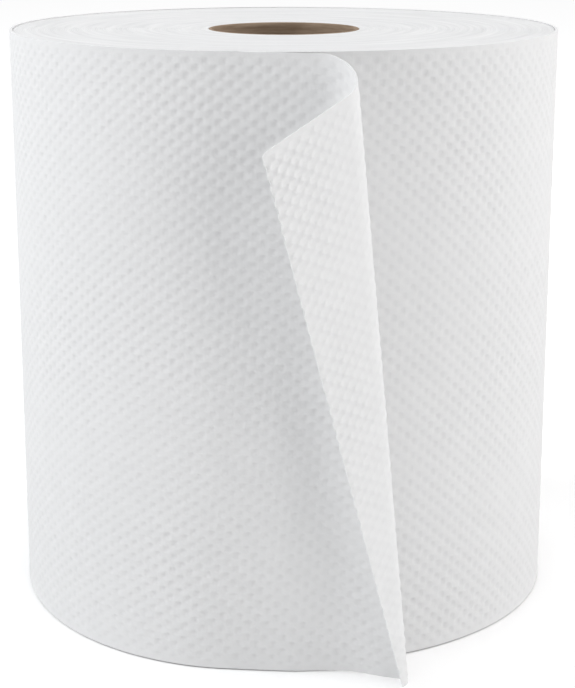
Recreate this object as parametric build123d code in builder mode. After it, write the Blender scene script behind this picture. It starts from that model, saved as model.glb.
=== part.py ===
"""Roll of embossed paper towel on a cardboard core, standing on end, its loose end curled back.

The origin is on the axis of the core at the lower end, +Z runs up the core, and the loose end
leaves the roll at the front, on the -Y side. Seen from above, the web winds anticlockwise.
"""
import os
from math import cos, radians, sin, tan

from build123d import *

# Roll, in millimetres and degrees
sheet_width = 200.0
roll_diameter = 192.0
sheet_thickness = 0.4

# Core tube
core_bore = 50.8
core_wall = 1.2
core_glue_gap = 0.1

# Turn lines on the two sawn ends: a spiral groove, which stands for the many turns of the web
turn_spacing = 7.0
turn_line_width = 0.6
turn_line_depth = 0.4

# Loose end: a flat run that leaves the roll at a tangent, a cone-shaped curl and a flat flap, so
# that the sheet bends without stretching. The foot is its lower edge and the head its upper one
take_off_angle = 257.5
curl_turn = 120.6
foot_run = 59.5
foot_curl_radius = 2.9
foot_flap = 1.5
head_run = 30.8
head_curl_radius = 14.3
head_flap = 41.2

# The upper edge of the loose end falls away from the roll in one slanted plane
droop_standoff = 5.7
droop_angle = 25.2

# Worked-out sizes
roll_radius = roll_diameter / 2
core_radius = core_bore / 2 + core_wall
eye_radius = core_radius + core_glue_gap
half_turn_growth = sheet_thickness / 2
head_reach = head_run + 2 * head_curl_radius + head_flap


def toward(angle):
    """Unit vector at an angle from +X, seen from above."""
    return Vector(cos(radians(angle)), sin(radians(angle)))


# Where the loose end leaves the roll, and the plane of its flat run, X along the web and Y up
out = toward(take_off_angle)
ahead = toward(take_off_angle + 90)
run_plane = Plane(origin=out * roll_radius, x_dir=ahead, z_dir=out)

# The line on that plane where the curl starts, and the leaning axis that the curl turns about
curl_foot = run_plane.from_local_coords(Vector(foot_run, 0))
curl_head = run_plane.from_local_coords(Vector(head_run, sheet_width))
curl_line = curl_head - curl_foot
axis_foot = curl_foot + out * foot_curl_radius
axis_head = curl_head + out * head_curl_radius
curl_axis = Axis(axis_head, axis_foot - axis_head)
curl_section = Plane(origin=curl_foot, x_dir=out, z_dir=out.cross(curl_line))

# The plane of the flap, which is that of the run turned about the axis of the curl
flap_out = out.rotate(curl_axis, curl_turn)
flap_along = curl_line.cross(out).rotate(curl_axis, curl_turn)
flap_foot = axis_foot + (curl_foot - axis_foot).rotate(curl_axis, curl_turn)
flap_plane = Plane(origin=flap_foot, x_dir=flap_along, z_dir=flap_out)

with BuildPart() as core_tube:
    with BuildSketch():
        Circle(core_radius)
        Circle(core_bore / 2, mode=Mode.SUBTRACT)
    extrude(amount=sheet_width)

with BuildPart() as paper_roll:
    # Curl of the loose end, carried on below the foot, where it is trimmed level
    below = foot_curl_radius
    with BuildSketch(curl_section):
        with Locations((-sheet_thickness, -below)):
            Rectangle(sheet_thickness, curl_line.length + below, align=Align.MIN)
    revolve(axis=curl_axis, revolution_arc=curl_turn)

    # Flap, which widens from the foot to the head
    with BuildSketch(flap_plane):
        with BuildLine():
            Polyline((0, -below), (foot_flap, -below), (foot_flap, 0),
                     (head_flap, curl_line.length), (0, curl_line.length), close=True)
        make_face()
    extrude(amount=-sheet_thickness)

    # Slanted upper edge, and a lower edge that is level with the end of the roll
    with BuildSketch(Plane.YZ):
        with BuildLine():
            droop_start = Vector(-roll_radius - droop_standoff, sheet_width)
            droop_end = droop_start - Vector(head_reach, head_reach * tan(radians(droop_angle)))
            Polyline(droop_start, droop_end, (droop_end.X, sheet_width + head_reach),
                     (0, sheet_width + head_reach), (0, sheet_width), close=True)
        make_face()
        with Locations((-roll_radius - head_reach, 0)):
            Rectangle(roll_radius + head_reach, head_reach, align=(Align.MIN, Align.MAX))
    extrude(amount=roll_diameter, both=True, mode=Mode.SUBTRACT)

    # Flat run between the roll and the curl
    with BuildSketch(run_plane):
        with BuildLine():
            Polyline((head_run, 0), (foot_run, 0), (head_run, sheet_width), close=True)
        make_face()
    extrude(amount=-sheet_thickness)

    # Wound web with the start of the run: a spiral of half circles about two centres
    with BuildSketch():
        with BuildLine():
            under_radius = roll_radius - 1.5 * half_turn_growth
            over_radius = roll_radius - half_turn_growth / 2
            under_centre = out * (-half_turn_growth / 2)
            over_centre = out * (half_turn_growth / 2)
            under_root = out * (roll_radius - sheet_thickness)
            far_side = out * (half_turn_growth - roll_radius)
            take_off = out * roll_radius
            ThreePointArc(under_root, under_centre + ahead * under_radius, far_side)
            ThreePointArc(far_side, over_centre - ahead * over_radius, take_off)
            Polyline(take_off, take_off + ahead * head_run, under_root + ahead * head_run, under_root)
        make_face()
    extrude(amount=sheet_width)

    # Eye of the roll, which the core fills
    with BuildSketch():
        Circle(eye_radius)
    extrude(amount=sheet_width, mode=Mode.SUBTRACT)

    # Turn lines, as half circles about two centres, cut into both ends
    half_spacing = turn_spacing / 2
    first_line = eye_radius + half_spacing
    half_turns = int((roll_radius - half_spacing - first_line) / half_spacing)
    for end_level, inward in ((0, 1), (sheet_width, -1)):
        for turn in range(half_turns):
            start = toward(take_off_angle + 180 * turn)
            centre = start * (-half_spacing / 2)
            line_radius = first_line + turn * half_spacing
            section = Plane(origin=(centre.X, centre.Y, end_level), x_dir=start,
                            z_dir=start.rotate(Axis.Z, -90))
            with BuildSketch(section):
                with BuildLine():
                    Polyline((line_radius, inward * turn_line_depth),
                             (line_radius - turn_line_width, -inward * turn_line_depth),
                             (line_radius + turn_line_width, -inward * turn_line_depth),
                             close=True)
                make_face()
            revolve(axis=Axis((centre.X, centre.Y, 0), (0, 0, 1)), revolution_arc=180,
                    mode=Mode.SUBTRACT)

os.makedirs("parts", exist_ok=True)
core_tube.part.label = "core_tube"
paper_roll.part.label = "paper_roll"
export_step(core_tube.part, "parts/core_tube.step")
export_step(paper_roll.part, "parts/paper_roll.step")
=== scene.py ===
# %% [markdown]
# # A roll of embossed paper towel, its loose end curled back
#
# The roll stands on end: a brown card core, several hundred turns of white paper wound on it, and
# the last sheet hanging free at the front, its edge curled back like the corner of a page. The
# measured solids come first. They are the frame, and each piece made below lies where they lie.

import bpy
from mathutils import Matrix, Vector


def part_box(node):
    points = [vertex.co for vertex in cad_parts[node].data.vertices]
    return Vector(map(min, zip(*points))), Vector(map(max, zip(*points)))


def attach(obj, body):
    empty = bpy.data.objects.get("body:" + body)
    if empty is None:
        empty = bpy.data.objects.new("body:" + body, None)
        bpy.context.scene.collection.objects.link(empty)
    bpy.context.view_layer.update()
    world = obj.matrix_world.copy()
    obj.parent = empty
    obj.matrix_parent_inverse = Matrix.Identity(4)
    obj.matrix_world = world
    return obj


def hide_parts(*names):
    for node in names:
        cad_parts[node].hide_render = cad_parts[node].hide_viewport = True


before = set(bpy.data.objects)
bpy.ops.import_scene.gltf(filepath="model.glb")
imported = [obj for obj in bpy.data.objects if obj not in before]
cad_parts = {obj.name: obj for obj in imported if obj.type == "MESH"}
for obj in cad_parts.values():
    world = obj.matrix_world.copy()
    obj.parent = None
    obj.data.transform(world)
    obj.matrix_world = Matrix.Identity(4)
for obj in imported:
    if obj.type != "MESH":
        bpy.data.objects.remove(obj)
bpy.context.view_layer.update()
print("measured pieces:", sorted(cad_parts))

# %% [markdown]
# ## Sizes
#
# The frame is in metres. The width of the web and the radius of the core are read from the solids,
# so they can't drift apart from them. The rest of the sizes are those of the roll itself, written
# in millimetres and turned into metres where they are named.

# %% Sizes of the roll
import math

import bpy
import numpy as np

MM = 0.001
web_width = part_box("paper_roll")[1].z
core_outer_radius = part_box("core_tube")[1].x
roll_radius = 96 * MM
sheet_thickness = 0.4 * MM
print(f"web {web_width / MM:.0f} mm wide, roll {2 * roll_radius / MM:.0f} mm across")

# %% [markdown]
# ## The web as a flat drawing
#
# A paper web bends but doesn't stretch. So every point of it has a place on the flat sheet: s, the
# distance along the web, and z, the height across it. Here s is 0 where the sheet leaves the roll,
# negative on the roll and positive on the loose end. The embossing is drawn on the flat sheet, and
# then the sheet is wound and curled, as the real one is. A texture on the finished roll could show
# the same dots, but they would slide and stretch over the curl.

# %% Where the sheet leaves the roll
take_off = math.radians(257.5)
turn_length = 2 * math.pi * roll_radius
out = np.array([math.cos(take_off), math.sin(take_off), 0.0])
ahead = np.array([-math.sin(take_off), math.cos(take_off), 0.0])
up = np.array([0.0, 0.0, 1.0])
print(f"one turn is {turn_length / MM:.0f} mm of web")

# %% [markdown]
# ### The slack foot
#
# Whoever pulled the loose end pulled it at the foot, so the last turn is a little slack there: it
# stands off the roll in a long low swell that dies out up the roll and round to its left side, and
# it dips back just before the curl. Points moved by hand could give that shape. Two raised cosines
# give it from a few plain sizes, and it is as smooth as the mesh is fine.

# %% Slack of the last turn
curl_foot_s = 59.5 * MM
curl_head_s = 30.8 * MM
slack_height = 5.4 * MM
slack_crest = -14 * MM
slack_back = 101 * MM
slack_front = 62 * MM
dip_depth = 2.4 * MM
dip_start = 22 * MM
slack_fade = 1.5


def raised_cosine(x, reach):
    """1 at x = 0, falling smoothly to 0 at a distance of reach."""
    return 0.5 + 0.5 * np.cos(np.pi * np.clip(x / reach, -1, 1))


def fold_s(z):
    """Where the run ends and the curl begins, at a height on the flat sheet."""
    return curl_foot_s + (curl_head_s - curl_foot_s) * z / web_width


def slack(s, z):
    """How far the last turn stands off its tight course at a place on the flat sheet."""
    drawn_out = np.where(s > 0, s * curl_foot_s / fold_s(z), s)
    along = drawn_out - slack_crest
    swell = raised_cosine(along, np.where(along < 0, slack_back, slack_front))
    middle = (dip_start + curl_foot_s) / 2
    dip = raised_cosine(drawn_out - middle, (curl_foot_s - dip_start) / 2)
    fade = np.clip(1 - z / web_width, 0, 1) ** slack_fade
    return (slack_height * swell - dip_depth * dip) * fade


print(f"slack at the foot: {slack(slack_crest, 0.0) / MM:.1f} mm")

# %% [markdown]
# ### The roll and the run
#
# The last turn goes once round the roll and grows by one thickness of sheet on the way. Then it runs
# on straight, at a tangent. It starts a little early, tucked under its own end, so that no gap opens
# where the sheet leaves the roll. A cylinder would be quicker to make, but its seam would have no
# step, and a real last turn has one.

# %% Points on the roll and the run
tuck_length = 14 * MM
tuck_drop = 0.5 * MM


def wound(s, z):
    """Points and face directions on the roll and the run."""
    on_roll = np.minimum(s, 0)
    angle = take_off + on_roll / roll_radius
    face = np.stack([np.cos(angle), np.sin(angle), np.zeros_like(angle)], axis=-1)
    tucked = np.clip((tuck_length / 2 - s - turn_length) / tuck_length, 0, 1)
    radius = roll_radius + sheet_thickness * on_roll / turn_length - tuck_drop * tucked
    reach = (radius + slack(s, z))[..., None]
    run = np.maximum(s, 0)[..., None] * ahead
    return face * reach + run + z[..., None] * up, face


print(f"the last turn starts {tuck_length / MM:.0f} mm before the place where it leaves the roll")

# %% [markdown]
# ## The loose end
#
# The free sheet has three stretches: the run, a curl, and a flap that points back to the left. The
# curl is tight at the foot and wide at the head, so it is part of a cone: flat paper can take that
# shape without a crease. A bend modifier could curl a flat grid, but with one radius from foot to
# head. Turning one straight edge of the run about a leaning axis gives the cone, and the flap
# carries on straight.

# %% The cone of the curl
curl_foot_radius = 2.9 * MM
curl_head_radius = 14.3 * MM
curl_turn = math.radians(120.6)


def unit(vector):
    """The same direction at a length of 1."""
    return vector / np.linalg.norm(vector)


def turned(vector, angle):
    """A vector turned about the curl's axis, by one angle or by many."""
    along = axis_line * (vector @ axis_line)
    angle = np.asarray(angle)[..., None]
    return along + (vector - along) * np.cos(angle) + np.cross(axis_line, vector) * np.sin(angle)


curl_foot = roll_radius * out + curl_foot_s * ahead
curl_head = roll_radius * out + curl_head_s * ahead + web_width * up
axis_foot = curl_foot + curl_foot_radius * out
axis_head = curl_head + curl_head_radius * out
axis_line = unit(axis_foot - axis_head)
edge_line = unit(curl_head - curl_foot)
edge_length = np.linalg.norm(curl_head - curl_foot)
foot_to_apex = curl_foot_radius * edge_length / (curl_head_radius - curl_foot_radius)
apex = curl_foot - foot_to_apex * edge_line
flap_line = turned(edge_line, curl_turn)
flap_along = turned(np.cross(edge_line, out), curl_turn)
print(f"the cone's tip is {foot_to_apex / MM:.1f} mm below the foot of the curl")

# %% [markdown]
# Laid flat, the cone is a fan about its tip. So a place on the flat sheet can be turned into a place
# in space: the distance from the tip stays, while the angle in the fan becomes an angle round the
# cone. Past the cone's last line the sheet lies in the plane of the flap.

# %% Points on the curl and the flap
cone_half_angle = math.acos(abs(edge_line @ axis_line))
edge_lean = math.atan2(curl_foot_s - curl_head_s, web_width)
flap_lean = edge_lean - curl_turn * math.sin(cone_half_angle)
apex_s = curl_foot_s + foot_to_apex * math.sin(edge_lean)
apex_z = -foot_to_apex * math.cos(edge_lean)


def past_flap_line(s, z):
    """Distance past the last line of the cone on the flat sheet; below 0 on the cone."""
    return (s - apex_s) * math.cos(flap_lean) + (z - apex_z) * math.sin(flap_lean)


def curled(s, z):
    """Points and face directions on the curl and the flap."""
    lean = np.arctan2(apex_s - s, z - apex_z)
    turn = np.clip((edge_lean - lean) / math.sin(cone_half_angle), 0, curl_turn)
    past = np.maximum(past_flap_line(s, z), 0)
    from_tip = np.sqrt((s - apex_s) ** 2 + (z - apex_z) ** 2 - past**2)
    place = apex + from_tip[..., None] * turned(edge_line, turn) + past[..., None] * flap_along
    return place, turned(out, turn)


print(f"the fan of the curl spans {math.degrees(edge_lean - flap_lean):.1f} degrees on the flat sheet")

# %% [markdown]
# ### Edges of the loose end
#
# Pulled round the cone, the upper edge droops away from the roll in one slanted plane, and the lower
# edge stays on the surface that the roll stands on. The sheet was torn off on a slant, and its upper
# corner is a little rounded. A boolean could cut these edges, but it would leave ragged triangles.
# Here they are found on straight lines of the sheet, and then kept as curves on the flat drawing.

# %% Ends of a straight line of the sheet
droop_standoff = 5.7 * MM
droop_angle = math.radians(25.2)
droop_start_y = -roll_radius - droop_standoff
droop_slope = math.tan(droop_angle)


def ends_of_line(start, line):
    """Distances along a straight line at which it meets the floor and the drooping upper edge."""
    foot = -start[2] / line[2]
    level = (web_width - start[2]) / line[2]
    droop = web_width + droop_slope * (start[1] - droop_start_y) - start[2]
    return foot, min(level, droop / (line[2] - droop_slope * line[1]))


def on_flat_sheet(lean, reach, past=0.0):
    """Place on the flat sheet of a point at a reach from the cone's tip along a line of that lean."""
    s = apex_s - reach * math.sin(lean) + past * math.cos(lean)
    return s, apex_z + reach * math.cos(lean) + past * math.sin(lean)


print(f"the upper edge droops by {math.degrees(droop_angle):.1f} degrees")

# %% [markdown]
# The lines of the cone all start at its tip. On the flap they fan out evenly, from the cone's last
# line to the torn end, so the flap is narrow at the foot and wide at the head.

# %% Edges on the flat drawing
flap_foot_width = 1.5 * MM
flap_head_width = 41.2 * MM
corner_share = 0.04
corner_drop = 0.8 * MM
curl_lines = 40
flap_lines = 80
spread = (flap_head_width - flap_foot_width) / edge_length
width_at_tip = flap_foot_width - spread * foot_to_apex

lower_edge = [(0.0, 0.0)]
upper_edge = [(0.0, web_width)]
for turn in np.linspace(0, curl_turn, curl_lines):
    foot, head = ends_of_line(apex, turned(edge_line, turn))
    lean = edge_lean - turn * math.sin(cone_half_angle)
    lower_edge.append(on_flat_sheet(lean, foot))
    upper_edge.append(on_flat_sheet(lean, head))
for part in np.linspace(0, 1, flap_lines)[1:]:
    start = apex + part * width_at_tip * flap_along
    foot, head = ends_of_line(start, flap_line + part * spread * flap_along)
    into_corner = max(0.0, (part - 1 + corner_share) / corner_share)
    head -= corner_drop * (1 - math.sqrt(1 - into_corner**2))
    lower_edge.append(on_flat_sheet(flap_lean, foot, part * (width_at_tip + spread * foot)))
    upper_edge.append(on_flat_sheet(flap_lean, head, part * (width_at_tip + spread * head)))
lower_edge = np.array(lower_edge)
upper_edge = np.array(upper_edge)
foot_corner_s, foot_corner_z = lower_edge[-1]
head_corner_s, head_corner_z = upper_edge[-1]
print(f"loose end: {foot_corner_s / MM:.1f} mm long at the foot, {head_corner_s / MM:.1f} mm at the head")

# %% [markdown]
# ## Columns and rows of the sheet
#
# The dents of the embossing are 5.8 mm apart along the web and 4.65 mm apart across it, with every
# other row moved by half a step. The mesh has four columns and four rows to each step, and runs in
# step with the dents, so that each of them is one column wide and two rows tall: an upright oval. A
# mesh out of step with the dents would beat against them. The rows run between the two edges.

# %% Rows, and the line of the torn end
dot_step = 5.8 * MM
dot_rows = 43
points_per_step = 4
row_count = points_per_step * dot_rows
share = np.linspace(0, 1, row_count + 1)
settling_rounds = 8


def between_edges(s):
    """Heights of the rows on the flat sheet, from the lower edge to the upper one."""
    low = np.interp(s, *lower_edge.T)
    return low + share * (np.interp(s, *upper_edge.T) - low)


end_z = share * web_width
for _ in range(settling_rounds):
    torn = (end_z - foot_corner_z) / (head_corner_z - foot_corner_z)
    end_s = foot_corner_s + torn * (head_corner_s - foot_corner_s)
    end_z = between_edges(end_s)
print(f"{row_count} rows, {web_width / row_count / MM:.2f} mm apart on the roll")

# %% [markdown]
# The lattice of dents leans a little, and the columns lean with it, from the start of the turn to
# the torn end. A column that passes one of these two lines, or comes close to it, is moved onto it.

# %% Columns
lattice_lean = math.tan(math.radians(5))
column_step = dot_step / points_per_step
close = 0.35 * column_step
start_s = -turn_length - tuck_length
roll_columns = round((lattice_lean * web_width - start_s) / column_step) + 1
loose_columns = round((head_corner_s - lattice_lean * head_corner_z) / column_step) + 1

column = np.arange(-roll_columns, loose_columns + 1)[:, None]
flat_z = np.broadcast_to(share * web_width, (len(column), row_count + 1))
for _ in range(settling_rounds):
    flat_s = column * column_step + lattice_lean * flat_z
    flat_s = np.where(flat_s > end_s - close, end_s, flat_s)
    flat_s = np.where(flat_s < start_s + close, start_s, flat_s)
    flat_z = between_edges(flat_s)
first_column = np.sum(flat_s <= start_s, axis=0) - 1
last_column = np.argmax(flat_s >= end_s, axis=0)
print(f"{roll_columns} columns on the roll and up to {loose_columns} on the loose end")

# %% [markdown]
# Now the flat sheet can be bent: each point takes its place on the roll and the run, or on the curl
# and the flap, and keeps the direction in which the paper's outer face looks there.

# %% Bend the sheet
past_fold = flat_s > fold_s(flat_z)
wound_points, wound_faces = wound(flat_s, flat_z)
curled_points, curled_faces = curled(flat_s, flat_z)
points = np.where(past_fold[..., None], curled_points, wound_points)
faces_to = np.where(past_fold[..., None], curled_faces, wound_faces)
bent_size = points.max(axis=(0, 1)) - points.min(axis=(0, 1))
print("the bent sheet spans", np.round(bent_size / MM, 1), "mm")

# %% [markdown]
# ## Embossing
#
# Steel rolls press small upright ovals into the web, and the paper between them stands up in low
# pillows. Two cosines multiplied give that lattice. On the outer face the ovals are dents, and on the
# flap, which shows the inner face, the same ovals stand out. A bump in the finish could draw them as
# well, but it would leave the outline of the flap smooth, so the mesh itself is pressed.

# %% Lattice of dents
pillow_share = 0.4
leaning_s = flat_s - lattice_lean * flat_z
along_web = 2 * np.pi * leaning_s / dot_step
across_web = 2 * np.pi * share * dot_rows + math.pi / points_per_step
lattice = math.sqrt(2) * np.cos(along_web) * np.cos(across_web)
dent = np.clip(lattice, -pillow_share, 1) + pillow_share
print(f"lattice of {dot_step / MM:.1f} by {web_width / dot_rows / MM:.2f} mm")

# %% [markdown]
# Winding tension flattens the dents on the roll, and on the curl the paper is stretched nearly
# smooth. Slow waves, about a decimetre long, make the dents uneven, as the pressing on real towel
# is. The dents fade out at the sawn edges and where the turn starts.

# %% Depth of the dents
depth_on_roll = 0.27 * MM
depth_on_flap = 0.36 * MM
depth_on_curl = 0.17 * MM
smooth_before_curl = 9 * MM
smooth_after_curl = 16 * MM
uneven_share = 0.25
start_fade = 8 * column_step
edge_fade_rows = 3


def slow_wave(along, across, length, sway, sway_length, sway_start=0.0):
    """A wave along the sheet that sways to and fro across it; one radian takes up each length."""
    return np.sin(along / length + sway * np.sin(across / sway_length + sway_start))


def unevenness(s, z):
    """A slow change over the flat sheet, between about -1 and 1."""
    along = slow_wave(s, z, length=17 * MM, sway=1.3, sway_length=23 * MM)
    across = slow_wave(z, s, length=13 * MM, sway=-0.8, sway_length=31 * MM, sway_start=2.0)
    return 0.5 * (along + across)


to_fold = fold_s(flat_z) - flat_s
past_curl = past_flap_line(flat_s, flat_z)
row_number = np.arange(row_count + 1)
from_edge = np.minimum(row_number, row_count - row_number)
wound_depth = np.interp(to_fold, [0, smooth_before_curl], [depth_on_curl, depth_on_roll])
flap_depth = np.interp(past_curl, [0, smooth_after_curl], [depth_on_curl, depth_on_flap])
depth = np.where(past_fold, flap_depth, wound_depth)
depth = depth * (1 + uneven_share * unevenness(flat_s, flat_z))
depth = depth * np.clip((flat_s - start_s) / start_fade, 0, 1)
depth = depth * np.clip(from_edge / edge_fade_rows, 0, 1)
height = -depth * dent
print(f"from pillow to dent up to {-height.min() / MM:.2f} mm")

# %% [markdown]
# ## The two faces of the web
#
# The loose end shows both of its faces, so it has two, a thickness apart. On the roll only the outer
# face shows, and the inner one is a plain wall a little farther in. A solidify modifier would give
# every dent on the roll a hidden copy. Each point also keeps its place in the lattice and the depth
# of its dent, in the attribute emboss, for the finish to draw the ovals finer than the mesh can.

# %% Front and back of the sheet
wall_inset = 1.0 * MM
settle_columns = 6
settled = np.clip(column / settle_columns, 0, 1)
under = settled * (height - sheet_thickness) - (1 - settled) * wall_inset
front = points + faces_to * height[..., None]
back = points + faces_to * under[..., None]
step_along = leaning_s / dot_step
step_across = np.broadcast_to(share * dot_rows + 0.5 / points_per_step, height.shape)
on_front = np.stack([step_along, step_across, depth / MM], axis=-1)
on_back = np.stack([step_along, step_across, -depth / MM * settled], axis=-1)
print(f"{height.size} points on each face")

# %% [markdown]
# ## From points to pieces
#
# Every piece below is a table of points, with two triangles between each four neighbours. Each
# square is split along its higher diagonal where heights are given, so that a dent stays a dent and
# doesn't run into the next one. Blender can split squares by itself, but not with an eye to the dents.

# %% Helpers that make an object from points and triangles
sharp_edge = math.radians(65)


def make_piece(name, vertices, triangles, emboss=None):
    """A mesh object of the points in use, smooth except at sharp edges."""
    used, numbers = np.unique(triangles, return_inverse=True)
    mesh = bpy.data.meshes.new(name)
    mesh.from_pydata(vertices[used], [], numbers.reshape(-1, 3).tolist())
    if emboss is not None:
        kept = mesh.attributes.new("emboss", "FLOAT_VECTOR", "POINT")
        kept.data.foreach_set("vector", emboss[used].astype(np.float32).ravel())
    mesh.validate()
    mesh.shade_smooth()
    mesh.set_sharp_from_angle(angle=sharp_edge)
    piece = bpy.data.objects.new(name, mesh)
    bpy.context.scene.collection.objects.link(piece)
    print(f"{name}: {len(mesh.vertices)} points, {len(mesh.polygons)} triangles")
    return piece


def grid(index, flip=False, level=None):
    """Triangles between the neighbours of a table of point numbers; none where points coincide."""
    squares = (index[:-1, :-1], index[1:, :-1], index[1:, 1:], index[:-1, 1:])
    a, b, c, d = [corner.ravel() for corner in squares]
    higher = np.ones(len(a), bool)
    if level is not None:
        higher = level[a] + level[c] >= level[b] + level[d]
    first = np.where(higher, [a, b, c], [a, b, d])
    second = np.where(higher, [a, c, d], [b, c, d])
    triangles = np.concatenate([first, second], axis=1).T
    p, q, r = triangles.T
    triangles = triangles[(p != q) & (q != r) & (r != p)]
    return triangles[:, ::-1] if flip else triangles


print("mesh helpers ready")

# %% [markdown]
# ### The web as one closed mesh
#
# The two faces are joined by a strip along each edge. The wall on the roll has few rows, because
# nothing of it shows. That keeps the whole piece closed, and under 200,000 triangles.

# %% Number the points of the web
wall_row_step = dot_rows
front_at = np.arange(height.size).reshape(height.shape)
back_at = front_at + height.size
on_web = np.clip(np.arange(len(column))[:, None], first_column, last_column)
front_at = np.take_along_axis(front_at, on_web, axis=0)
back_at = np.take_along_axis(back_at, on_web, axis=0)
wall_at = back_at[:roll_columns, ::wall_row_step]
back_at = back_at[roll_columns:]
nearest_wall_row = np.round(share * (row_count // wall_row_step)).astype(int)
inside_at = np.concatenate([wall_at[:, nearest_wall_row], back_at])
print(f"wall of {wall_at.shape[1]} rows behind {row_count + 1} rows of the outer face")

# %% [markdown]
# The heights decide how each square is split. On the back the same ovals stand the other way, so its
# heights change sign. The dents mustn't push a point past either sawn end.

# %% Join the faces of the web
vertices = np.concatenate([front.reshape(-1, 3), back.reshape(-1, 3)])
vertices[:, 2] = np.clip(vertices[:, 2], 0, web_width)
levels = np.concatenate([height.ravel(), -height.ravel()])
emboss = np.concatenate([on_front.reshape(-1, 3), on_back.reshape(-1, 3)])

outer_face = grid(front_at, level=levels)
inner_face = grid(back_at, flip=True, level=levels)
wall = grid(wall_at, flip=True)
wall_to_face = grid(np.stack([wall_at[-1, nearest_wall_row], back_at[0]]), flip=True)
upper_strip = grid(np.stack([front_at[:, -1], inside_at[:, -1]], axis=1))
lower_strip = grid(np.stack([front_at[:, 0], inside_at[:, 0]], axis=1), flip=True)
torn_strip = grid(np.stack([front_at[-1], inside_at[-1]]))
start_strip = grid(np.stack([front_at[0], inside_at[0]]), flip=True)
faces = [outer_face, inner_face, wall, wall_to_face]
strips = [upper_strip, lower_strip, torn_strip, start_strip]
web = make_piece("outer_turn_and_loose_end", vertices, np.concatenate(faces + strips), emboss)

# %% [markdown]
# ## The wound turns
#
# Under the last turn lie all the others. Six hundred separate turns would be millions of triangles,
# and only their edges show, on the two sawn ends. So they are one ring, which fits under the last
# turn: it narrows by one sheet in going round once, and a little more where the last turn starts.

# %% Outline of the ring
ring_sectors = 180
turn_gap = 0.2 * MM
glue_gap = 0.1 * MM
eye_radius = core_outer_radius + glue_gap
sector = np.arange(ring_sectors) * 2 * math.pi / ring_sectors
around = np.stack([np.cos(sector), np.sin(sector)], axis=1)
since_take_off = (take_off - sector) % (2 * math.pi)
from_take_off = since_take_off * roll_radius
under_start = from_take_off < tuck_length
tucked = np.clip(0.5 + from_take_off / tuck_length, 0, 1) * under_start
under_tuck = sheet_thickness * under_start + tuck_drop * tucked
wound_in = sheet_thickness * from_take_off / turn_length
ring_radius = roll_radius - wall_inset - turn_gap - wound_in - under_tuck
print(f"ring from {eye_radius / MM:.1f} to {ring_radius.max() / MM:.1f} mm radius")

# %% [markdown]
# The edges of the turns are fine lines that run round and round in a spiral. The ring has one groove
# that winds out from the core to the last turn, and a slow rise and fall where the web wound tighter
# or looser. The upper end is dished a little towards the core, as on a roll that has been handled.

# %% Relief of the sawn ends
ring_steps = 170
line_pitch = 1.8 * MM
line_depth = 0.14 * MM
end_inset = 0.2 * MM
dish_depth = 0.5 * MM
swell_depth = 0.04 * MM
long_swell = 5.1 * MM
short_swell = 2.3 * MM
outward = np.linspace(0, 1, ring_steps + 1)[:, None]
radii = eye_radius + outward * (ring_radius - eye_radius)
phase = radii / line_pitch - sector / (2 * math.pi)
groove = (0.5 + 0.5 * np.cos(2 * np.pi * phase)) ** 2
tightness = np.sin(radii / long_swell) + np.sin(radii / short_swell + 1.0)
sunk = end_inset + line_depth * groove + swell_depth * (2 + tightness)
dished = dish_depth * np.linspace(1, 0, ring_steps + 1)[:, None]
print(f"lines {line_pitch / MM:.1f} mm apart, sunk by up to {sunk.max() / MM:.2f} mm")

# %% [markdown]
# Both ends use the same relief. They are joined by two plain walls, one against the core and one
# under the last turn, where nothing shows.

# %% The ring of wound turns
def ring_end(level):
    """Points of one sawn end, at the heights given for each of them."""
    flat = radii[..., None] * around
    return np.concatenate([flat, level[..., None]], axis=2).reshape(-1, 3)


def closed_round(index):
    """A table of point numbers with its first column again at the end, so that a ring closes."""
    return np.concatenate([index, index[:, :1]], axis=1)


upper_at = np.arange(radii.size).reshape(radii.shape)
lower_at = closed_round(upper_at + radii.size)
upper_at = closed_round(upper_at)
ends = np.concatenate([ring_end(web_width - sunk - dished), ring_end(sunk - end_inset)])
triangles = [
    grid(upper_at),
    grid(lower_at, flip=True),
    grid(np.stack([upper_at[-1], lower_at[-1]])),
    grid(np.stack([upper_at[0], lower_at[0]]), flip=True),
]
turns = make_piece("wound_turns", ends, np.concatenate(triangles))

# %% [markdown]
# ## The core
#
# A core is wound from strips of card at a slant, like a striped pole, and the edges of the inner
# strip meet in a shallow seam that climbs round the bore. A plain tube would be smooth inside, so
# the wall is a fine grid, pressed in along that seam, with softly broken edges at both ends. Its
# upper edge lies about as low as the dished paper beside it.

# %% Section of the core
core_wall = 1.2 * MM
core_sectors = 144
core_rows = 160
seam_climb = 78 * MM
seam_depth = 0.25 * MM
seam_width = 1.1 * MM
edge_break = 0.3 * MM
core_inner_radius = core_outer_radius - core_wall
mid_radius = (core_inner_radius + core_outer_radius) / 2
inner_corner = core_inner_radius + edge_break
outer_corner = core_outer_radius - edge_break
core_top = web_width - dish_depth - end_inset
core_angle = np.arange(core_sectors) * 2 * math.pi / core_sectors
core_z = np.linspace(edge_break, core_top - edge_break, core_rows + 1)
from_seam = (core_z[:, None] / seam_climb - core_angle / (2 * math.pi) + 0.5) % 1 - 0.5
seam = seam_depth * np.exp(-((from_seam * seam_climb / seam_width) ** 2))
section = list(zip(core_inner_radius + seam, core_z))
section += [(inner_corner, core_top), (mid_radius, core_top), (outer_corner, core_top)]
section += [(core_outer_radius, core_top - edge_break), (core_outer_radius, edge_break)]
section += [(outer_corner, 0), (mid_radius, 0), (inner_corner, 0)]
print(f"core of {2 * core_inner_radius / MM:.1f} mm bore, {core_top / MM:.1f} mm tall")

# %% [markdown]
# Each place of the section is turned into a ring of points, and the rings are joined to each other
# and the last to the first. A screw modifier could turn a plain section, but not one with a seam.

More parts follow.
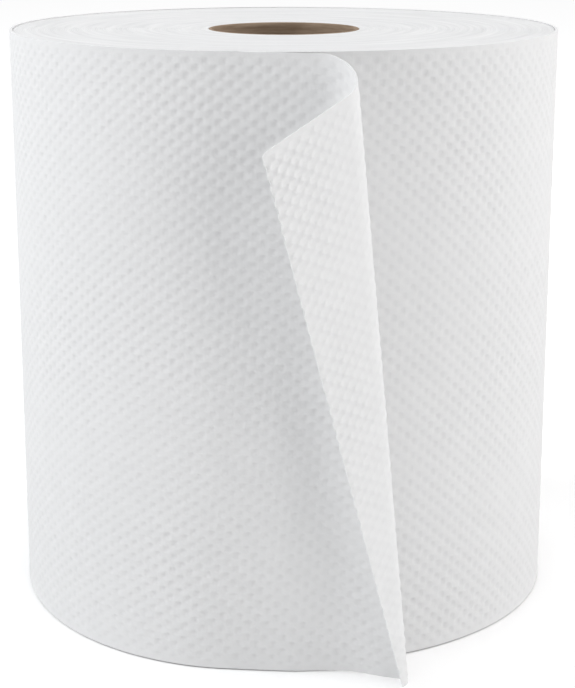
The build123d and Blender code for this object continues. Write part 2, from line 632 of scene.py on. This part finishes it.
# %% The core tube
loops = []
for radius, z in section:
    x = radius * np.cos(core_angle)
    y = radius * np.sin(core_angle)
    loops.append(np.stack([x, y, np.full(core_sectors, z)], axis=1))
loop_at = np.arange(len(loops) * core_sectors).reshape(len(loops), core_sectors)
loop_at = closed_round(np.concatenate([loop_at, loop_at[:1]]))
core = make_piece("card_core", np.concatenate(loops), grid(loop_at))

# %% [markdown]
# ## Finishes
#
# Paper and card are never one flat colour. Pictures of them could be wrapped round the pieces, but
# here the finishes are worked out by nodes, mostly from noise in the object's own space, so they are
# the same from every side and have no seams. The first helpers start a material and add one sum to it.

# %% Helpers that start a finish
def new_finish(name):
    """An empty material with its node list, its shader and a linking helper."""
    finish = bpy.data.materials.new(name)
    finish.use_nodes = True
    nodes = finish.node_tree.nodes
    return finish, nodes, nodes["Principled BSDF"], finish.node_tree.links.new


def maths(nodes, link, operation, first, second=None):
    """One sum on sockets or plain numbers."""
    node = nodes.new("ShaderNodeMath")
    node.operation = operation
    for socket, value in zip(node.inputs, (first, second)):
        if isinstance(value, (int, float)):
            socket.default_value = value
        elif value is not None:
            link(value, socket)
    return node.outputs["Value"]


print("finishes can be started")

# %% [markdown]
# The finishes share three things: noise, drawn out along an axis where fibres lie that way, a colour
# that runs between two tints, and a bump that lifts the surface.

# %% Helpers for noise, tint and bump
def stretched_noise(nodes, link, scale, detail):
    """Noise in object space, with its own scale along each axis, in waves per metre."""
    place = nodes.new("ShaderNodeTexCoord")
    stretch = nodes.new("ShaderNodeMapping")
    stretch.inputs["Scale"].default_value = scale
    noise = nodes.new("ShaderNodeTexNoise")
    noise.inputs["Scale"].default_value = 1.0
    noise.inputs["Detail"].default_value = detail
    link(place.outputs["Object"], stretch.inputs["Vector"])
    link(stretch.outputs["Vector"], noise.inputs["Vector"])
    return noise.outputs["Fac"]


def tint_between(nodes, link, factor, dark, light, low=0.3, high=0.7):
    """A colour that runs from dark to light as the factor goes from low to high."""
    ramp = nodes.new("ShaderNodeValToRGB")
    ramp.color_ramp.elements[0].position = low
    ramp.color_ramp.elements[0].color = (*dark, 1)
    ramp.color_ramp.elements[1].position = high
    ramp.color_ramp.elements[1].color = (*light, 1)
    link(factor, ramp.inputs["Fac"])
    return ramp.outputs["Color"]


def bump_from(nodes, link, factor, shader, distance, strength, under=None):
    """A bump of that height, in metres, on the shader's normal, over another bump if there is one."""
    bump = nodes.new("ShaderNodeBump")
    bump.inputs["Distance"].default_value = distance
    bump.inputs["Strength"].default_value = strength
    link(factor, bump.inputs["Height"])
    if under is not None:
        link(under.outputs["Normal"], bump.inputs["Normal"])
    link(bump.outputs["Normal"], shader.inputs["Normal"])
    return bump


print("finish helpers ready")

# %% [markdown]
# ### The pressed ovals
#
# Between the points of the mesh a dent is only a few flat triangles. The finish draws the same ovals
# again from the attribute emboss: cosines raised to a power, narrow along the web and tall across it,
# and only where both have the same sign. A finer mesh would do that too, with many times the points.
# Noise, which is about a half on average, makes each oval a little deeper or shallower.

# %% Ovals drawn by nodes
narrow_power = 1.5
tall_power = 0.55
noise_to_depth = -2.0


# These ovals drive the paper's bump and also the painted shade that greys the paper in them.
def pressed_ovals(nodes, link):
    """The dents again, finer than the mesh: 0 on the ground, below 0 in a dent, above 0 on the back."""
    place = nodes.new("ShaderNodeAttribute")
    place.attribute_name = "emboss"
    axes = nodes.new("ShaderNodeSeparateXYZ")
    link(place.outputs["Vector"], axes.inputs["Vector"])
    waves = []
    shapes = []
    for axis, power in (("X", narrow_power), ("Y", tall_power)):
        turn = maths(nodes, link, "MULTIPLY", axes.outputs[axis], 2 * math.pi)
        wave = maths(nodes, link, "COSINE", turn)
        waves.append(wave)
        shapes.append(maths(nodes, link, "POWER", maths(nodes, link, "ABSOLUTE", wave), power))
    in_step = maths(nodes, link, "GREATER_THAN", maths(nodes, link, "MULTIPLY", *waves), 0.0)
    oval = maths(nodes, link, "MULTIPLY", maths(nodes, link, "MULTIPLY", *shapes), in_step)
    pressing = stretched_noise(nodes, link, scale=(190, 190, 190), detail=3)
    uneven = maths(nodes, link, "MULTIPLY", pressing, noise_to_depth)
    pressed_depth = maths(nodes, link, "MULTIPLY", axes.outputs["Z"], uneven)
    return maths(nodes, link, "MULTIPLY", oval, pressed_depth)


print(f"ovals: powers {narrow_power} along the web and {tall_power} across it")

# %% [markdown]
# ### Towel paper
#
# The towel is matt bleached paper. Close to, it is never one white: the pulp clouds a little, and fine
# fibres catch the light. The pressed ovals are painted greyer: painted shade of the dents on the outer
# face, and partly the denser pressed paper, so the raised ovals on the flap are greyer too. The colour
# itself stays below pure white, so that the light can model it.

# %% Towel paper
cloud_share = 0.35
dent_shade_strength = 0.55
ground_white = 0.58
dent_shade_colour = (0.745, 0.747, 0.75)
pulp_colour = (0.838, 0.839, 0.841)


def towel_paper():
    """Matt white paper: clouded pulp, pressed ovals with painted shade in them, and fine fibres."""
    finish, nodes, shader, link = new_finish("towel_paper")
    ovals = pressed_ovals(nodes, link)
    pulp = stretched_noise(nodes, link, scale=(160, 160, 160), detail=5)
    cloud = maths(nodes, link, "MULTIPLY", pulp, cloud_share)
    # Painted shade: the colour is greyer in the pressed ovals, for the shade in the dents and partly for
    # the denser pressed paper.
    painted_dent_shade = maths(nodes, link, "MULTIPLY", maths(nodes, link, "ABSOLUTE", ovals), dent_shade_strength)
    tone_less_dent_shade = maths(nodes, link, "ADD", maths(nodes, link, "SUBTRACT", cloud, painted_dent_shade), ground_white)
    tint = tint_between(nodes, link, tone_less_dent_shade, dent_shade_colour, pulp_colour, low=0.2, high=0.85)
    link(tint, shader.inputs["Base Color"])
    fibre = stretched_noise(nodes, link, scale=(1500, 1500, 500), detail=3)
    pressed = bump_from(nodes, link, ovals, shader, distance=0.4 * MM, strength=1.0)
    bump_from(nodes, link, fibre, shader, distance=0.12 * MM, strength=0.5, under=pressed)
    shader.inputs["Roughness"].default_value = 0.92
    shader.inputs["Specular IOR Level"].default_value = 0.15
    shader.inputs["Sheen Weight"].default_value = 0.08
    return finish


web.data.materials.append(towel_paper())
print("web:", web.data.materials[0].name)

# %% [markdown]
# ### Sawn paper
#
# The sawn ends are the same paper seen edge on: duller, and drawn with lines much finer than the mesh
# holds, as bumps and as painted shade in the grooves between turns. A ring texture would draw closed
# circles. Their spiral is worked out in the nodes from the distance to the axis and the angle round it,
# so the fine lines wind as the groove does.

# %% Helpers for places round the axis
def level_place(nodes, link):
    """The two level coordinates of a point in the object's own space."""
    place = nodes.new("ShaderNodeTexCoord")
    axes = nodes.new("ShaderNodeSeparateXYZ")
    link(place.outputs["Object"], axes.inputs["Vector"])
    return axes.outputs["X"], axes.outputs["Y"]


def distance_from_axis(nodes, link, x, y):
    """How far a point is from the axis of the roll."""
    squares = [maths(nodes, link, "MULTIPLY", v, v) for v in (x, y)]
    return maths(nodes, link, "SQRT", maths(nodes, link, "ADD", *squares))


print("places round the axis ready")

# %% [markdown]
# One turn of the angle moves the lines out by one pitch, and that makes a spiral of them. Longer arcs of
# noise, drawn out round the axis, paint turns that were cut a little higher or lower lighter and darker,
# as painted shade of their uneven height.

# %% Sawn paper ends
fine_line_pitch = 0.6 * MM
line_share = 0.12
arcs_per_metre = 420.0
arcs_per_radian = 1.5
shaded_colour = (0.725, 0.727, 0.731)
edge_colour = (0.85, 0.851, 0.853)


def sawn_paper():
    """Paper seen edge on: a fine spiral of turns and lighter and darker arcs, painted as shade of grooves
    and uneven turns.
    """
    finish, nodes, shader, link = new_finish("sawn_paper")
    x, y = level_place(nodes, link)
    distance = distance_from_axis(nodes, link, x, y)
    angle = maths(nodes, link, "ARCTAN2", y, x)
    turns_out = maths(nodes, link, "MULTIPLY", distance, 2 * math.pi / fine_line_pitch)
    lines = maths(nodes, link, "SINE", maths(nodes, link, "SUBTRACT", turns_out, angle))
    arc_place = nodes.new("ShaderNodeCombineXYZ")
    link(maths(nodes, link, "MULTIPLY", distance, arcs_per_metre), arc_place.inputs["X"])
    link(maths(nodes, link, "MULTIPLY", angle, arcs_per_radian), arc_place.inputs["Y"])
    arcs = nodes.new("ShaderNodeTexNoise")
    arcs.inputs["Scale"].default_value = 1.0
    arcs.inputs["Detail"].default_value = 4.0
    link(arc_place.outputs["Vector"], arcs.inputs["Vector"])
    # Painted shade: the colour darkens along the grooves between turns, and the arcs paint turns cut
    # higher or lower lighter and darker.
    groove_shade_lines = maths(nodes, link, "MULTIPLY", lines, line_share)
    shade = maths(nodes, link, "ADD", groove_shade_lines, arcs.outputs["Fac"])
    tint = tint_between(nodes, link, shade, shaded_colour, edge_colour, low=0.25, high=0.75)
    link(tint, shader.inputs["Base Color"])
    bump_from(nodes, link, lines, shader, distance=0.05 * MM, strength=0.4)
    shader.inputs["Roughness"].default_value = 0.95
    shader.inputs["Specular IOR Level"].default_value = 0.1
    return finish


turns.data.materials.append(sawn_paper())
print("turns:", turns.data.materials[0].name)

# %% [markdown]
# ### Core card
#
# The core is unbleached card: brown, and flecked with darker fibres that lie nearly level, along the
# strip. Even noise would give round flecks, so it is drawn out sideways.

# %% Core card
fleck_colour = (0.25, 0.18, 0.123)
card_colour = (0.39, 0.295, 0.217)


def core_card():
    """Brown card with level flecks."""
    finish, nodes, shader, link = new_finish("core_card")
    fleck = stretched_noise(nodes, link, scale=(110, 110, 1100), detail=5)
    tint = tint_between(nodes, link, fleck, fleck_colour, card_colour)
    link(tint, shader.inputs["Base Color"])
    bump_from(nodes, link, fleck, shader, distance=0.15 * MM, strength=0.5)
    shader.inputs["Roughness"].default_value = 0.88
    shader.inputs["Specular IOR Level"].default_value = 0.2
    return finish


core.data.materials.append(core_card())
print("core:", core.data.materials[0].name)

# %% [markdown]
# ## Fix the pieces to the frame
#
# Nothing on the roll moves, so all of it rides on one body. The two paper pieces stand for the one
# paper solid, and the card core for the core solid.

# %% Ride and replace
for piece, node, finish_slot in (
    (web, "paper_roll", "towel_paper"),
    (turns, "paper_roll", "towel_paper"),
    (core, "core_tube", "core_board"),
):
    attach(piece, "root")
    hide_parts(node)

# %% [markdown]
# ## The floor
#
# The roll stands on a plain white floor in soft light. Blender knows for each ray whether it comes
# from the camera or carries light from place to place. So the floor and the world can be white to
# the eye without lighting the roll any more than they should.

# %% Helper for what the camera sees
def looked_at(nodes, link):
    """1 for what the camera sees, straight or by a mirror or a lens, and 0 for rays of light."""
    ray = nodes.new("ShaderNodeLightPath")
    by_mirror = ray.outputs["Is Glossy Ray"]
    by_lens = ray.outputs["Is Transmission Ray"]
    bounced = maths(nodes, link, "MAXIMUM", by_mirror, by_lens)
    return maths(nodes, link, "MAXIMUM", ray.outputs["Is Camera Ray"], bounced)


print("ray helper ready")

# %% [markdown]
# The floor keeps its own shading near the roll, so it carries the shadow. A fill that lights nothing
# makes it white farther off. A floor that glows evenly would wash the shadow out, so the fill is weak
# near the roll and goes away in the crease under it.

# %% Finish of the floor
near = 150 * MM
far = 450 * MM
near_fill = 0.23
far_fill = 0.68
crease_reach = 20 * MM


def floor_white():
    """White floor with its own shading and a fill for the eye."""
    finish, nodes, shader, link = new_finish("floor_white")
    shader.inputs["Base Color"].default_value = (0.92, 0.92, 0.92, 1)
    shader.inputs["Roughness"].default_value = 0.9
    shader.inputs["Specular IOR Level"].default_value = 0.0
    open_sky = nodes.new("ShaderNodeAmbientOcclusion")
    open_sky.inputs["Distance"].default_value = crease_reach
    rise = nodes.new("ShaderNodeMapRange")
    rise.inputs["From Min"].default_value = near
    rise.inputs["From Max"].default_value = far
    rise.inputs["To Min"].default_value = near_fill
    rise.inputs["To Max"].default_value = far_fill
    link(distance_from_axis(nodes, link, *level_place(nodes, link)), rise.inputs["Value"])
    fill = maths(nodes, link, "MULTIPLY", rise.outputs["Result"], open_sky.outputs["AO"])
    glow = nodes.new("ShaderNodeEmission")
    link(maths(nodes, link, "MULTIPLY", fill, looked_at(nodes, link)), glow.inputs["Strength"])
    both = nodes.new("ShaderNodeAddShader")
    link(shader.outputs["BSDF"], both.inputs[0])
    link(glow.outputs["Emission"], both.inputs[1])
    link(both.outputs["Shader"], nodes["Material Output"].inputs["Surface"])
    return finish


print(f"fill from {near_fill} near the roll to {far_fill} far off")

# %% [markdown]
# The floor lies a hair below the roll, which stands on the uneven edges of its turns. That leaves the
# fine dark line under its foot.

# %% The floor
floor_level = -0.45 * MM
floor_reach = 12.0
floor_points = [(-1, -1), (1, -1), (1, 1), (-1, 1)]
floor_points = [(floor_reach * x, floor_reach * y, floor_level) for x, y in floor_points]
floor_mesh = bpy.data.meshes.new("floor")
floor_mesh.from_pydata(floor_points, [], [(0, 1, 2, 3)])
floor_mesh.materials.append(floor_white())
floor = bpy.data.objects.new("floor", floor_mesh)
bpy.context.scene.collection.objects.link(floor)
print(f"floor at {floor_level / MM:.2f} mm")

# %% [markdown]
# ## Light from all round
#
# A pale room throws weak light from all sides. A picture of a room could give it, but plain white is
# all that a white roll shows. The camera sees full white in its place, so no horizon shows.

# %% World light
ambient_strength = 0.3


def studio_world():
    """Weak light from all sides that the camera sees as white."""
    world = bpy.data.worlds.new("studio")
    world.use_nodes = True
    nodes = world.node_tree.nodes
    link = world.node_tree.links.new
    ambient = nodes["Background"]
    ambient.inputs["Color"].default_value = (0.995, 0.997, 1.0, 1)
    ambient.inputs["Strength"].default_value = ambient_strength
    white = nodes.new("ShaderNodeBackground")
    white.inputs["Color"].default_value = (1, 1, 1, 1)
    mix = nodes.new("ShaderNodeMixShader")
    link(looked_at(nodes, link), mix.inputs["Fac"])
    link(ambient.outputs["Background"], mix.inputs[1])
    link(white.outputs["Background"], mix.inputs[2])
    link(mix.outputs["Shader"], nodes["World Output"].inputs["Surface"])
    return world


bpy.context.scene.world = studio_world()
print(f"world light at {ambient_strength}")

# %% [markdown]
# ## Lamps
#
# High lamps at both sides leave the front the least lit, and light the floor, which throws light back
# on the foot of the roll. A wide weak lamp at the front right puts the roll beside the flap in the
# flap's shade, and one overhead lights the sawn end. Wide square lamps give soft shadows, which small
# lamps or a sun wouldn't.

# %% Lamps
from mathutils import Vector

lamp_distance = 1.3
middle_of_roll = Vector((0, 0, web_width / 2))


def wide_lamp(name, azimuth, elevation, size, power, colour):
    """A square area lamp that looks at the middle of the roll; azimuth 0 is the front, 90 the right."""
    a = math.radians(azimuth)
    e = math.radians(elevation)
    toward = Vector((math.sin(a) * math.cos(e), -math.cos(a) * math.cos(e), math.sin(e)))
    lamp = bpy.data.lights.new(name, "AREA")
    lamp.shape = "SQUARE"
    lamp.size = size
    lamp.energy = power
    lamp.color = colour
    holder = bpy.data.objects.new(name, lamp)
    holder.location = middle_of_roll + lamp_distance * toward
    holder.rotation_euler = toward.to_track_quat("Z", "Y").to_euler()
    bpy.context.scene.collection.objects.link(holder)
    print(f"{name}: {power} W")


wide_lamp("left_lamp", azimuth=-82, elevation=36, size=0.6, power=9.6, colour=(0.97, 0.984, 1.0))
wide_lamp("right_lamp", azimuth=100, elevation=36, size=0.6, power=7.7, colour=(1.0, 0.988, 0.985))
wide_lamp("front_lamp", azimuth=36, elevation=12, size=0.7, power=2.8, colour=(1.0, 0.995, 0.99))
wide_lamp("top_lamp", azimuth=0, elevation=80, size=0.9, power=3.1, colour=(1.0, 1.0, 1.0))

# %% [markdown]
# ## Camera
#
# The roll was seen from a little above, close enough for its sides to draw together towards the
# floor. The place, the tilt and the lens come from fitting the two ends of the roll to the picture,
# which is 575 by 688 pixels. A camera set by eye would be near, but the outlines wouldn't meet.

# %% The camera
picture_width = 575
picture_height = 688
focal_pixels = 1792.0
axis_pixel = 283.95
camera_tilt = math.radians(14.652)
camera_distance = 640.1 * MM
camera_height = 251.4 * MM
sensor = 36.0
lens = bpy.data.cameras.new("camera")
lens.sensor_width = sensor
lens.lens = focal_pixels * sensor / picture_height
lens.shift_x = (picture_width / 2 - axis_pixel) / picture_height
camera = bpy.data.objects.new("camera", lens)
camera.location = (0.0, -camera_distance, camera_height)
camera.rotation_euler = (math.pi / 2 - camera_tilt, 0, 0)
bpy.context.scene.collection.objects.link(camera)
bpy.context.scene.camera = camera
bpy.context.scene.view_settings.view_transform = "Standard"
print(f"lens {lens.lens:.2f} mm, shift {lens.shift_x:.5f}")
